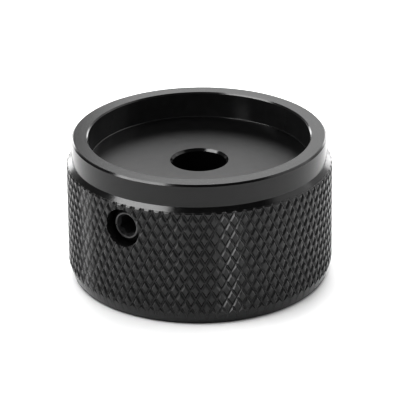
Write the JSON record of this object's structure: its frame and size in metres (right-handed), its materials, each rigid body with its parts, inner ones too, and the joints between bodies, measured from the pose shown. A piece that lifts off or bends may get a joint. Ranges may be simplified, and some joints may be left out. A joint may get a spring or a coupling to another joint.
{
  "type": "control knob",
  "caption": "Knurled cylindrical control knob with a recessed back, a blind shaft bore and a radial socket grub screw that clamps the shaft.",
  "frame": {"origin": "centre of the front face, which is the face it stands on", "axes": "+Z along the shaft bore, out of its mouth; the grub screw lies along Y and its socket faces -Y; +X completes the right-handed frame"},
  "size_m": [0.03, 0.03, 0.0166],
  "materials": {
    "anodised_body": "black anodised over a fine turned surface, satin",
    "screw_steel": "black oxide, satin"
  },
  "bodies": {
    "knob": {"knob_body": "anodised_body"},
    "screw": {"grub_screw": "screw_steel"}
  },
  "joints": [
    {"name": "screw_travel", "type": "slide", "parent": "knob", "child": "screw", "axis": [0, 1, 0], "range_m": [-0.0077, 0.0028]}
  ]
}
